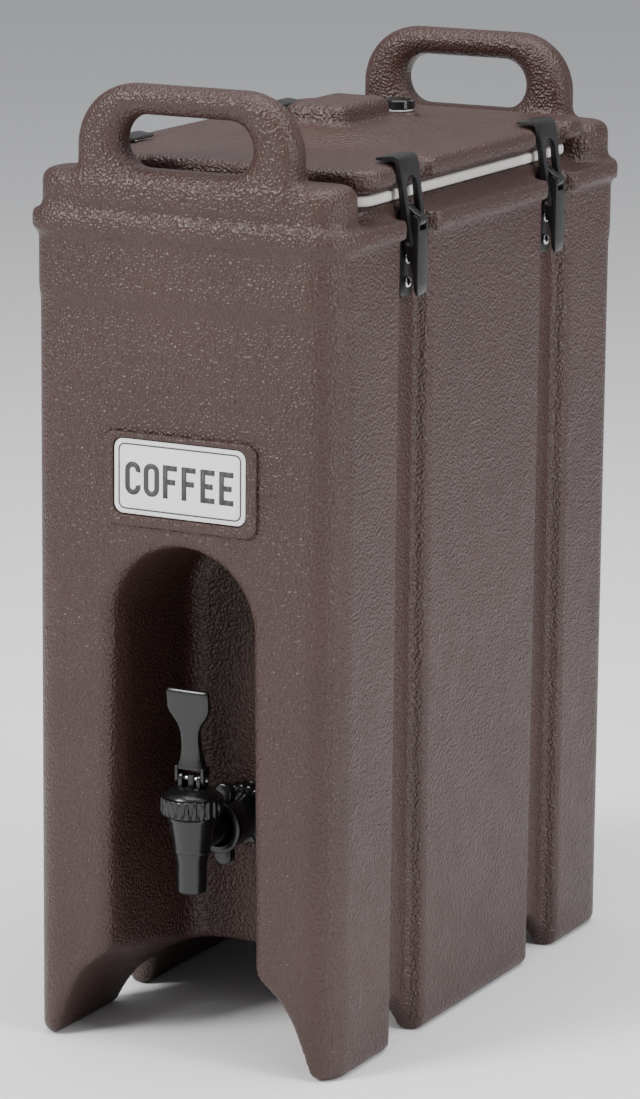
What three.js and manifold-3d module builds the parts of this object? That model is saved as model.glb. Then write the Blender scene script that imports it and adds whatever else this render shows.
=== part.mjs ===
// Insulated beverage dispenser, front spigot, lift-off lid held by four over-centre latches.
// Millimetres, +Z up, origin on the floor under the middle of the body. The spigot faces -Y.
import * as THREE from "three";
import { mergeVertices } from "three/addons/utils/BufferGeometryUtils.js";
import Module from "manifold-3d";

const wasm = await Module();
wasm.setup();

// ---------- driving dimensions ----------
const BODY_X = 109, BODY_Y = 206, BODY_R = 22; // half width, half length and corner radius of the casing
const BAND_X = 114.5, BAND_Y = 209.5, BAND_Z0 = 520.5, BAND_Z1 = 535.5; // moulded band round the top
const DECK_Z = 536, RIM_Z = 543, RIM_X = 97, RIM_Y = 156; // deck and the raised rim that the gasket seats on
const SHOULDER_Z = 561, SHOULDER_X = 106, SHOULDER_IN = 163.5;
const TOP_Z = 616, HANDLE_X = 76.5, HANDLE_R = 39, HANDLE_Y0 = 181.5, HANDLE_Y1 = 205.5; // carrying handles
const GRIP_X = 44.5, GRIP_Z0 = 565.5, GRIP_Z1 = 596.5; // finger hole
const SKIN = 3.2, FOAM_GAP = 0.3;
const GROOVE_Y = 103, GROOVE_W = 20.5, GROOVE_FLOOR_W = 17, GROOVE_X = 99.7;
const FOOT_ARCH_W = 18.5, FOOT_ARCH_H = 25;
const ALCOVE_BACK = -111, ALCOVE_W = 50, ALCOVE_SPRING = 281;
const UNDER_Z = 50;
const TANK_X = 75, TANK_FRONT = -80, TANK_FRONT_UP = -165, TANK_BACK = 168, TANK_FLOOR = 117, TANK_STEP = 350;
const MOUTH_X = 80, MOUTH_Y = 140;
const LID_X = 107, LID_Y = 160.5, LID_Z0 = 554.5, LID_Z1 = 567;
const SPIGOT_Y = -190, SHANK_Z = 141, PIN_Z = 181;
const LATCH_Y = 101.5, B_X = 109, B_Z = 531.5, L_X = 107.5, L_Z = 517.6; // latch pivots: lever on bracket, hook on lever

// ---------- helpers ----------
const V = (x, y, z) => new THREE.Vector3(x, y, z);
const M = {
  YZ: new THREE.Matrix4().makeBasis(V(0, 1, 0), V(0, 0, 1), V(1, 0, 0)), // a profile in YZ, pushed along +X
  XZ: new THREE.Matrix4().makeBasis(V(1, 0, 0), V(0, 0, 1), V(0, -1, 0)), // a profile in XZ, pushed along -Y
};
function solid(geometry, flip = false) {
  const g = new THREE.BufferGeometry();
  const src = geometry.index ? geometry.toNonIndexed() : geometry;
  g.setAttribute("position", src.getAttribute("position").clone());
  const m = mergeVertices(g, 1e-4);
  const tri = new Uint32Array(m.index.array);
  const keep = [];
  for (let i = 0; i < tri.length; i += 3) {
    const [a, b, c] = [tri[i], tri[i + 1], tri[i + 2]];
    if (a !== b && b !== c && a !== c) keep.push(a, flip ? c : b, flip ? b : c);
  }
  const made = new wasm.Manifold(new wasm.Mesh({ numProp: 3, vertProperties: m.attributes.position.array, triVerts: new Uint32Array(keep) }));
  return made.volume() < 0 && !flip ? solid(geometry, true) : made;
}
function geometryOf(s) {
  const m = s.getMesh(), n = m.numProp, v = new Float32Array(m.numVert * 3);
  for (let i = 0; i < m.numVert; i++) v.set(m.vertProperties.subarray(i * n, i * n + 3), i * 3);
  const g = new THREE.BufferGeometry();
  g.setAttribute("position", new THREE.BufferAttribute(v, 3));
  g.setIndex(new THREE.BufferAttribute(m.triVerts, 1));
  g.computeVertexNormals();
  return g;
}
const union = (...s) => s.reduce((a, b) => a.add(b));
const cut = (a, ...s) => s.reduce((x, y) => x.subtract(y), a);
function roundRect(hx, hy, r, cx = 0, cy = 0) {
  const s = new THREE.Shape();
  r = Math.max(0.5, Math.min(r, hx - 0.01, hy - 0.01));
  s.moveTo(cx - hx + r, cy - hy);
  s.lineTo(cx + hx - r, cy - hy);
  s.absarc(cx + hx - r, cy - hy + r, r, -Math.PI / 2, 0);
  s.lineTo(cx + hx, cy + hy - r);
  s.absarc(cx + hx - r, cy + hy - r, r, 0, Math.PI / 2);
  s.lineTo(cx - hx + r, cy + hy);
  s.absarc(cx - hx + r, cy + hy - r, r, Math.PI / 2, Math.PI);
  s.lineTo(cx - hx, cy - hy + r);
  s.absarc(cx - hx + r, cy - hy + r, r, Math.PI, 1.5 * Math.PI);
  return s;
}
function poly(points) {
  const s = new THREE.Shape();
  points.forEach(([x, y], i) => (i ? s.lineTo(x, y) : s.moveTo(x, y)));
  s.closePath();
  return s;
}
// A shape pushed from z0 to z1, with its end edges bevelled inwards by b.
function prism(shape, z0, z1, b = 0, seg = 2, curve = 6) {
  const g = new THREE.ExtrudeGeometry(shape, b > 0
    ? { depth: z1 - z0 - 2 * b, bevelEnabled: true, bevelThickness: b, bevelSize: b, bevelOffset: -b, bevelSegments: seg, curveSegments: curve }
    : { depth: z1 - z0, bevelEnabled: false, curveSegments: curve });
  g.translate(0, 0, z0 + b);
  return g;
}
const along = (g, m) => g.applyMatrix4(m);
function cyl(r, z0, z1, n = 32, r2 = r) {
  const g = new THREE.CylinderGeometry(r2, r, z1 - z0, n);
  g.rotateX(Math.PI / 2);
  g.translate(0, 0, (z0 + z1) / 2);
  return g;
}
// A cylinder along Y from y0 to y1 at height z, and one along X from x0 to x1.
const cylY = (r, y0, y1, x, z, n = 32, r2 = r) => { const g = new THREE.CylinderGeometry(r2, r, y1 - y0, n); g.translate(x, (y0 + y1) / 2, z); return g; };
const lathe = (pts, n = 40) => { const g = new THREE.LatheGeometry(pts.map(([r, z]) => new THREE.Vector2(r, z)), n); g.rotateX(Math.PI / 2); return g; };
// Rings of points, one after another, closed at both ends.
function loft(rings) {
  const n = rings[0].length, v = [];
  const put = (a, b, c) => v.push(a.x, a.y, a.z, b.x, b.y, b.z, c.x, c.y, c.z);
  for (let k = 0; k + 1 < rings.length; k++)
    for (let i = 0; i < n; i++) {
      const j = (i + 1) % n, [a, b] = [rings[k], rings[k + 1]];
      put(a[i], a[j], b[j]);
      put(a[i], b[j], b[i]);
    }
  for (const [ring, back] of [[rings[0], true], [rings[rings.length - 1], false]]) {
    const spread = ["x", "y", "z"].map((k) => Math.max(...ring.map((p) => p[k])) - Math.min(...ring.map((p) => p[k])));
    const drop = spread.indexOf(Math.min(...spread));
    const axes = ["x", "y", "z"].filter((_, i) => i !== drop);
    const flat = ring.map((p) => new THREE.Vector2(p[axes[0]], p[axes[1]]));
    const turned = THREE.ShapeUtils.area(flat) < 0;
    const order = ring.map((_, i) => (turned ? n - 1 - i : i));
    for (const [a, b, c] of THREE.ShapeUtils.triangulateShape(order.map((i) => flat[i]), [])) {
      const t = [order[a], order[b], order[c]];
      const s = [(t[1] - t[0] + n) % n, (t[2] - t[0] + n) % n];
      const ahead = s[0] < s[1];
      const [p, q, r] = ahead ? t : [t[0], t[2], t[1]];
      back ? put(ring[p], ring[r], ring[q]) : put(ring[p], ring[q], ring[r]);
    }
  }
  const g = new THREE.BufferGeometry();
  g.setAttribute("position", new THREE.BufferAttribute(new Float32Array(v), 3));
  return g;
}
// A rounded rectangle of points at height z, for a loft.
const rr = (hx, y0, y1, z, r, n = 4) => {
  const p = [];
  for (const [sx, y, a0] of [[1, y0 + r, -Math.PI / 2], [1, y1 - r, 0], [-1, y1 - r, Math.PI / 2], [-1, y0 + r, Math.PI]])
    for (let i = 0; i <= n; i++) { const a = a0 + (Math.PI / 2) * (i / n); p.push(V(sx * (hx - r) + r * Math.cos(a), y + r * Math.sin(a), z)); }
  return p;
};
const box = (x0, x1, y0, y1, z0, z1) => { const g = new THREE.BoxGeometry(x1 - x0, y1 - y0, z1 - z0); g.translate((x0 + x1) / 2, (y0 + y1) / 2, (z0 + z1) / 2); return g; };

const model = new THREE.Group();
function add(parent, name, made, color, roughness, metalness = 0) {
  const mesh = new THREE.Mesh(made.isBufferGeometry ? made : geometryOf(made), new THREE.MeshStandardMaterial({ color, roughness, metalness }));
  mesh.name = name;
  parent.add(mesh);
  return mesh;
}
const BROWN = 0x5a4a45, BLACK = 0x1a1a1c, SILICONE = 0xcfc3bd, STEEL = 0xb8babd, FOAM = 0xe6dcb4, WHITE = 0xf4f4f2;

// ---------- casing ----------
// The recess for the spigot: an arched niche with draft, wider at the mouth. o grows it.
function alcove(o) {
  const ring = (y, w, spring, lower) => {
    const p = [V(-w - lower, y, -12), V(-w, y, spring)], n = o ? 6 : 12;
    for (let i = 1; i < n; i++) { const a = Math.PI - (Math.PI * i) / n; p.push(V(w * Math.cos(a), y, spring + w * Math.sin(a))); }
    p.push(V(w, y, spring), V(w + lower, y, -12));
    return p;
  };
  const back = ALCOVE_BACK + o;
  return solid(loft([
    ring(-226, ALCOVE_W + 2 + o, ALCOVE_SPRING, 4.5),
    ring(-BODY_Y, ALCOVE_W + o, ALCOVE_SPRING, 4.5),
    ring(back - 10, 41.5 + o, 277, 3.5),
    ring(back - 3, 38.5 + o, 276, 3.5),
    ring(back, 31 + o, 275, 3.5),
  ]));
}
// The open tunnel under the body, higher at its two ends, where a handle of the unit below would go.
const UNDER = [[93, 0], [90, 10], [86.5, 20], [80, 36], [72, 49], [62, 58], [50, 67], [38, 72], [20, 75]];
function tunnel(o) {
  const ring = (y, h) => {
    const half = UNDER.map(([x, z]) => [x + o, (z * h) / 76 + (z > 0 ? (o * z) / 76 : 0)]);
    return [V(-93 - o, y, -14), ...half.map(([x, z]) => V(-x, y, z)), ...half.slice().reverse().map(([x, z]) => V(x, y, z)), V(93 + o, y, -14)];
  };
  const e = o * 0.8;
  return solid(loft([ring(-230, 76 + e), ring(-192, 73 + e), ring(-108, UNDER_Z + 1 + e), ring(112, UNDER_Z + 1 + e), ring(176, 71 + e), ring(230, 76 + e)]));
}
function grooves(o) {
  const one = (sx, sy) => {
    const x0 = sx * (GROOVE_X - o), x1 = sx * 130, yc = sy * GROOVE_Y;
    const slope = (GROOVE_W - GROOVE_FLOOR_W) / (BODY_X - GROOVE_X);
    const w0 = GROOVE_FLOOR_W + o, w1 = GROOVE_W + o + slope * (130 - BODY_X);
    let pts = [[x0, yc - w0], [x1, yc - w1], [x1, yc + w1], [x0, yc + w0]];
    if (sx < 0) pts = pts.reverse();
    const channel = solid(prism(poly(pts), -8, 575));
    const arch = new THREE.Shape();
    arch.moveTo(yc - FOOT_ARCH_W - o, -8);
    arch.lineTo(yc + FOOT_ARCH_W + o, -8);
    arch.lineTo(yc + FOOT_ARCH_W + o, 0);
    arch.absellipse(yc, 0, FOOT_ARCH_W + o, FOOT_ARCH_H + o, 0, Math.PI);
    const g = along(prism(arch, 70, 130, 0, 1, o ? 4 : 6), M.YZ);
    if (sx < 0) g.scale(-1, 1, 1);
    return union(channel, solid(g));
  };
  return [one(1, 1), one(1, -1), one(-1, 1), one(-1, -1)];
}
function casingOuter(o) {
  // o is how far inside the true surface this copy lies
  const seg = o ? 1 : 2, curve = o ? 2 : 4;
  const parts = [
    solid(prism(roundRect(BODY_X - o, BODY_Y - o, BODY_R - o), o, DECK_Z - o, 6, seg, curve)),
    solid(prism(roundRect(RIM_X - o, RIM_Y - o, 16), 500, RIM_Z - o, 2, 1, o ? 3 : 4)),
  ];
  if (!o) parts.push(solid(prism(roundRect(BAND_X, BAND_Y, BODY_R + 4), BAND_Z0, BAND_Z1, 4.5, seg, curve)));
  for (const s of [-1, 1]) {
    const y = (s * (BODY_Y - o + SHOULDER_IN + o)) / 2, hy = (BODY_Y - SHOULDER_IN) / 2 - o;
    parts.push(solid(prism(roundRect(SHOULDER_X - o, hy, 15 - o, 0, y), 500, SHOULDER_Z - o, 7 - o * 0.5, seg, o ? 3 : 4)));
  }
  return cut(union(...parts), alcove(o), tunnel(o), ...grooves(o));
}
function handle(s) {
  const shape = new THREE.Shape();
  shape.moveTo(-HANDLE_X, 548);
  shape.lineTo(HANDLE_X, 548);
  shape.lineTo(HANDLE_X, TOP_Z - HANDLE_R);
  shape.absarc(HANDLE_X - HANDLE_R, TOP_Z - HANDLE_R, HANDLE_R, 0, Math.PI / 2);
  shape.lineTo(-HANDLE_X + HANDLE_R, TOP_Z);
  shape.absarc(-HANDLE_X + HANDLE_R, TOP_Z - HANDLE_R, HANDLE_R, Math.PI / 2, Math.PI);
  const arch = prism(shape, -HANDLE_Y1, -HANDLE_Y0, 4, 1, 5);
  arch.applyMatrix4(M.XZ); // pushed along -Y, so this copy stands at +Y
  if (s < 0) arch.rotateZ(Math.PI);
  return solid(arch);
}
// The finger hole of a handle: a stadium that flares towards both faces.
function grip(s) {
  const h = (GRIP_Z1 - GRIP_Z0) / 2, zc = (GRIP_Z1 + GRIP_Z0) / 2, straight = GRIP_X - h;
  const ring = (y, g) => {
    const p = [];
    for (const [cx, a0] of [[straight, -Math.PI / 2], [-straight, Math.PI / 2]])
      for (let i = 0; i <= 5; i++) { const a = a0 + (Math.PI * i) / 5; p.push(V(cx + (h + g) * Math.cos(a), s * y, zc + (h + g) * Math.sin(a))); }
    return p;
  };
  return solid(loft([ring(HANDLE_Y0 - 6, 14), ring(HANDLE_Y0, 8), ring(HANDLE_Y0 + 8, 0), ring(HANDLE_Y1 - 8, 0), ring(HANDLE_Y1, 8), ring(HANDLE_Y1 + 6, 14)]));
}
// The tank: a full-length upper half over a shorter lower half that clears the niche.
function tank(o) {
  const r = 18;
  return solid(loft([
    rr(TANK_X + o - 10, TANK_FRONT - o + 10, TANK_BACK + o - 10, TANK_FLOOR - o, r - 8),
    rr(TANK_X + o, TANK_FRONT - o, TANK_BACK + o, TANK_FLOOR - o + 10, r),
    rr(TANK_X + o, TANK_FRONT - o, TANK_BACK + o, TANK_STEP - o, r),
    rr(TANK_X + o, TANK_FRONT_UP - o, TANK_BACK + o, TANK_STEP + 42 - o, r),
    rr(TANK_X + o, TANK_FRONT_UP - o, TANK_BACK + o, 500 + o, r),
    rr(TANK_X + o, -MOUTH_Y - o, MOUTH_Y + o, 519 + o, r),
  ]));
}
const mouth = (o, z1) => solid(prism(roundRect(MOUTH_X + o, MOUTH_Y + o, 20), 505, z1, 0, 1, 6));
const shankBore = (r) => solid(cylY(r, -125, -60, 0, SHANK_Z, 36));
const PORT = [0, 60];
const port = (r, z0, z1) => { const g = cyl(r, z0, z1, 28); g.translate(PORT[0], PORT[1], 0); return solid(g); };

const outer = union(casingOuter(0), handle(1), handle(-1));
const wetSide = union(tank(0), mouth(0, 560));
// frame for the label on the front
const frameRing = (() => {
  const s = roundRect(54, 29.5, 8, 0, 372.5);
  s.holes.push(roundRect(47, 24.4, 6.8, 0, 374));
  const g = prism(s, BODY_Y - 4, BODY_Y + 2.2, 1, 1, 5);
  g.applyMatrix4(M.XZ);
  return solid(g);
})();
const sleeve = (r) => solid(cylY(r, -125, TANK_FRONT - SKIN - FOAM_GAP, 0, SHANK_Z, 24)); // moulded round the tube's bore
const hollow = (o) => cut(casingOuter(SKIN + o), sleeve(9.4 + SKIN + o));
const shell = cut(union(outer, frameRing), grip(1), grip(-1), hollow(0), mouth(SKIN + FOAM_GAP, 560), shankBore(9.4), port(10, 40, 70));
const liner = cut(union(tank(SKIN), mouth(SKIN, RIM_Z)), wetSide, shankBore(9.4));
const foamSpace = (o) => cut(hollow(o), tank(SKIN + o), mouth(SKIN + o + 0.3, 560), solid(cylY(9.4 + SKIN + o, -125, -60, 0, SHANK_Z, 24)));
add(model, "body_shell", shell, BROWN, 0.62);
add(model, "tank_liner", liner, BROWN, 0.6);
const foam = foamSpace(FOAM_GAP);
add(model, "body_foam_core", cut(foam, port(10.4, 40, 60.6)), FOAM, 0.95);
{
  // plug in the foaming port, its head under the tunnel roof
  add(model, "foam_port_plug", union(port(9.6, UNDER_Z - 1, 60), port(13, UNDER_Z - 2.4, UNDER_Z)), BROWN, 0.6);
}
{
  const g = prism(roundRect(46.2, 23.6, 6.2, 0, 374), BODY_Y + 0.3, BODY_Y + 1.2, 0, 1, 6);
  g.applyMatrix4(M.XZ);
  add(model, "label_plate", solid(g), WHITE, 0.35);
}

// ---------- lid ----------
const NOTCH_X = 98, NOTCH_Y = 101.3, NOTCH_W = 24.8; // the flange steps in here to let a hook past
const notches = (o) => [[1, 1], [1, -1], [-1, 1], [-1, -1]].map(([sx, sy]) => {
  const x0 = NOTCH_X - o, w = NOTCH_W + o;
  const g = prism(roundRect((140 - x0) / 2, w, 6, (140 + x0) / 2, sy * NOTCH_Y), 545 - o, 580, 0, 1, o ? 1 : 3);
  if (sx < 0) g.scale(-1, 1, 1);
  const ramp = along(prism(poly([[NOTCH_X - 11, LID_Z1 + 6], [NOTCH_X - 11, LID_Z1], [NOTCH_X + 5, LID_Z1 - 2.6], [NOTCH_X + 5, LID_Z1 + 6]]), -w - sy * NOTCH_Y, w - sy * NOTCH_Y), M.XZ);
  if (sx < 0) ramp.scale(-1, 1, 1);
  return o ? solid(g) : union(solid(g), solid(ramp));
});
function lidOuter(o) {
  const crown = loft([[100, 153, 560], [100, 153, LID_Z1 - 1.2], [92, 142, LID_Z1 + 0.2], [62, 84, 569.4], [40, 55, 573.4], [28, 42, 575.6]].map(([hx, hy, z], i) => rr(hx - o, -hy + o, hy - o, z - (i ? o : -o), 14, o ? 1 : 3)));
  return union(
    solid(prism(roundRect(LID_X - o, LID_Y - o, 18 - o), LID_Z0 + o, LID_Z1 - o, o ? 1 : 3.4, 1, o ? 1 : 4)),
    solid(crown),
    solid(prism(roundRect(23 - o, 37 - o, 9), 560 + o, 588.5 - o, 5 - o * 0.6, o ? 1 : 2, o ? 1 : 3)),
    solid(prism(roundRect(97.6 - o, 152.6 - o, 15), 550.3 + o, 562, 0, 1, o ? 1 : 4)),
    solid(prism(roundRect(77 - o, 137 - o, 18), 524 + o, 562, o ? 1 : 3, 1, o ? 1 : 4)),
  );
}
const VENT = [0, 88], VENT_Z = 570.6; // pressure vent behind the crown
const ventAt = (g) => { g.translate(VENT[0], VENT[1], 0); return solid(g); };
const lid = new THREE.Group();
model.add(lid);
{
  const skin = 2.8;
  const inside = (o) => cut(lidOuter(skin + o), ...notches(skin + o), ventAt(cyl(6 + skin + o, 500, 600, 12)));
  const lidPort = (r, z0, z1) => { const g = cyl(r, z0, z1, 24); g.translate(0, -80, 0); return solid(g); };
  const boss = ventAt(cyl(13.5, 560, VENT_Z + 1.2, 32, 12.6));
  add(lid, "lid_shell", cut(union(cut(lidOuter(0), ...notches(0)), boss), inside(0), ventAt(cyl(6, 500, 600, 16)), lidPort(7, 515, 534)), BROWN, 0.62);
  add(lid, "lid_foam_core", cut(inside(FOAM_GAP), lidPort(7.4, 515, 532)), FOAM, 0.95);
  add(lid, "lid_foam_plug", union(lidPort(6.6, 523, 531.6), lidPort(9.5, 521.6, 523.7)), BROWN, 0.6);
  const ring = roundRect(96.2, 151.4, 14);
  ring.holes.push(roundRect(79, 139, 16));
  add(lid, "lid_gasket", solid(prism(ring, RIM_Z + 0.3, 550, 1.8, 1, 4)), SILICONE, 0.45);
  const seal = new THREE.Shape().absarc(0, 0, 9.3, 0, Math.PI * 2);
  seal.holes.push(new THREE.Path().absarc(0, 0, 6.2, 0, Math.PI * 2));
  const vz = VENT_Z + 1.5;
  add(lid, "vent_seal", ventAt(prism(seal, vz, vz + 1, 0, 1, 16)), BLACK, 0.7);
  const cap = [];
  for (let i = 0; i < 32; i++) { const a = (i / 32) * Math.PI * 2, r = i % 4 < 2 ? 11 : 10.2; cap.push([r * Math.cos(a), r * Math.sin(a)]); }
  add(lid, "vent_cap", union(ventAt(prism(poly(cap), vz + 1.3, vz + 7.3, 0.8, 1)), ventAt(cyl(5.6, 556, vz + 3, 16))), BLACK, 0.4);
}

// ---------- spigot ----------
const spigot = new THREE.Group();
spigot.position.set(0, SPIGOT_Y, 0);
model.add(spigot);
{
  const toY = (y) => y - SPIGOT_Y; // lengths along Y given in the part's frame
  // threaded tube through the wall, flanged inside the tank
  const tube = union(
    solid(cylY(9, toY(-134), toY(-72.3), 0, SHANK_Z, 36)),
    solid(cylY(13.2, toY(-76.3), toY(-72.3), 0, SHANK_Z, 6)),
  );
  add(spigot, "wall_tube", cut(tube, solid(cylY(6.2, toY(-140), toY(-60), 0, SHANK_Z, 28))), BLACK, 0.35);
  const washer = (name, r, r0, y0, y1, color, rough) => add(spigot, name, cut(solid(cylY(r, toY(y0), toY(y1), 0, SHANK_Z, 28)), solid(cylY(r0, toY(y0) - 1, toY(y1) + 1, 0, SHANK_Z, 28))), color, rough);
  washer("inner_seal", 12.6, 9.3, -79.6, -76.6, SILICONE, 0.5);
  washer("outer_seal", 19, 9.3, -113.6, -111.4, SILICONE, 0.5);
  // round knurled lock nut on the outside wall
  const nut = [];
  for (let i = 0; i < 40; i++) { const a = (i / 40) * Math.PI * 2, r = i % 4 < 2 ? 20.5 : 19; nut.push([r * Math.cos(a), r * Math.sin(a) + SHANK_Z]); }
  const nutG = prism(poly(nut), toY(-113.9) * -1, toY(-124) * -1, 1.2, 1);
  nutG.applyMatrix4(M.XZ);
  add(spigot, "lock_nut", cut(solid(nutG), solid(cylY(9.3, 0, 120, 0, SHANK_Z, 36))), BLACK, 0.35);
  // spigot body: cup, cone and spout, with its tail pipe
  const cup = lathe([[0, 107.5], [8, 107.5], [9.6, 108.3], [9.6, 126], [14.9, 154], [15.4, 155.4], [15.4, 157.6], [13.6, 158], [13.6, 167.5], [0, 167.5]], 26);
  const bowl = lathe([[0, 100], [6.6, 100], [6.6, 128], [8, 130], [11.4, 134], [11.8, 175], [0, 175]], 20);
  const tail = union(solid(cylY(9.4, 8, toY(-152), 0, SHANK_Z, 24)), solid(cylY(12.6, toY(-152.5), toY(-147), 0, SHANK_Z, 28)), solid(cylY(9, toY(-147.5), toY(-134.4), 0, SHANK_Z, 24)));
  add(spigot, "spigot_body", cut(union(solid(cup), tail), solid(bowl), solid(cylY(6, 0, 80, 0, SHANK_Z, 16))), BLACK, 0.3);
  washer("tail_washer", 12.4, 9.3, -146.6, -144.4, SILICONE, 0.5);
  // wing nut that draws the tail pipe up to the tube
  const wings = (() => {
    const s = new THREE.Shape();
    s.moveTo(-5, 0); s.lineTo(-6.5, 20); s.bezierCurveTo(-7.5, 30, 7.5, 30, 6.5, 20); s.lineTo(5, 0);
    const up = prism(s, toY(-144) * -1 + 0, toY(-151) * -1 + 0, 1.4, 1, 8);
    up.applyMatrix4(M.XZ);
    const down = up.clone(); down.scale(1, 1, -1);
    up.translate(0, 0, SHANK_Z); down.translate(0, 0, SHANK_Z);
    return union(solid(up), solid(down));
  })();
  add(spigot, "wing_nut", cut(union(wings, solid(cylY(17.2, toY(-158.5), toY(-127), 0, SHANK_Z, 28, 15.4))),
    solid(cylY(12.9, toY(-160), toY(-126), 0, SHANK_Z, 28))), BLACK, 0.3);
  // bonnet: knurled collar, dome and the ears that carry the lever's pin
  const knurl = [];
  for (let i = 0; i < 36; i++) { const a = (i / 36) * Math.PI * 2, r = i % 4 < 2 ? 19.8 : 18.6; knurl.push([r * Math.cos(a), r * Math.sin(a)]); }
  const ears = [-1, 1].map((s) => solid(box(s > 0 ? 5.2 : -7.7, s > 0 ? 7.7 : -5.2, -4.4, 4.4, 173, 184.2)));
  const bonnet = cut(
    union(solid(prism(poly(knurl), 158.3, 170.2, 1.4, 1)), solid(lathe([[0, 167], [17.6, 167], [17, 171], [12, 174.6], [8.4, 176], [0, 176]], 32)), ...ears),
    solid(cyl(14, 152, 168, 28)), solid(cyl(11.3, 162, 172.2, 28)), solid(cyl(3.6, 162, 190, 16)),
    solid(along(prism(new THREE.Shape().absarc(0, PIN_Z, 1.9, 0, Math.PI * 2), -12, 12, 0, 1, 12), M.YZ)),
  );
  add(spigot, "bonnet", bonnet, BLACK, 0.3);
  // stem with its head between the lever's cheeks, spring round it, seat cup under it
  const stem = cut(union(solid(cyl(3.2, 139, 183.8, 20)), solid(cyl(5, 139, 141.2, 20))), solid(box(-12, 12, -2, 2, PIN_Z - 4.6, PIN_Z + 1.9)));
  add(spigot, "stem", stem, BLACK, 0.35);
  const seat = cut(solid(lathe([[0, 128.6], [5.5, 128.6], [7.4, 131.2], [10.6, 136], [10.8, 147], [8, 147], [0, 147]], 36)), solid(cyl(5.3, 138.7, 150, 24)));
  add(spigot, "seat_cup", seat, SILICONE, 0.5);
  class Helix extends THREE.Curve { getPoint(t) { const a = t * Math.PI * 2 * 4, r = 8.2; return V(r * Math.cos(a), r * Math.sin(a), 149.3 + t * 21.9); } }
  const wire = new THREE.Shape().absarc(0, 0, 0.6, 0, Math.PI * 2);
  add(spigot, "return_spring", solid(new THREE.ExtrudeGeometry(wire, { steps: 44, extrudePath: new Helix(), curveSegments: 3, bevelEnabled: false })), STEEL, 0.3, 1);
  add(spigot, "spring_washer", cut(solid(cyl(10.4, 147.3, 148.3, 28)), solid(cyl(3.5, 140, 150, 20))), STEEL, 0.3, 1);
  // lever: paddle, neck and a forked foot with a forward toe, swinging on the pin
  const side = poly([[-3.4, 240], [-8.4, 240], [-8.2, 222], [-6.4, 212], [-5.6, 202], [-6.2, 192], [-5.4, 186], [-4.3, 181], [-3.6, 178.5], [-1.6, 176.9], [1.6, 176.9], [3.6, 178.5], [4.4, 181], [4.6, 189], [2.2, 200], [0.4, 212], [-2.4, 222]]);
  const front = new THREE.Shape();
  front.moveTo(-15, 241); front.lineTo(-15, 226); front.bezierCurveTo(-11, 221, -7.6, 217, -7.2, 209); front.lineTo(-8.4, 194); front.lineTo(-10.4, 187); front.lineTo(-10.4, 174);
  front.lineTo(10.4, 174); front.lineTo(10.4, 187); front.lineTo(8.4, 194); front.lineTo(7.2, 209); front.bezierCurveTo(7.6, 217, 11, 221, 15, 226); front.lineTo(15, 241);
  const leverBlank = solid(along(prism(side, -16, 16), M.YZ)).intersect(solid(along(prism(front, -20, 20, 0, 1, 6), M.XZ)));
  const lever = cut(leverBlank,
    solid(box(-8, 8, -20, 20, 165, 187.2)),
    solid(along(prism(new THREE.Shape().absarc(0, PIN_Z, 1.9, 0, Math.PI * 2), -16, 16, 0, 1, 12), M.YZ)));
  add(spigot, "spigot_lever", lever, BLACK, 0.3);
  add(spigot, "lever_pin", solid(along(prism(new THREE.Shape().absarc(0, PIN_Z, 1.6, 0, Math.PI * 2), -11.4, 11.4, 0.4, 1, 10), M.YZ)), STEEL, 0.25, 1);
}

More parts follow.
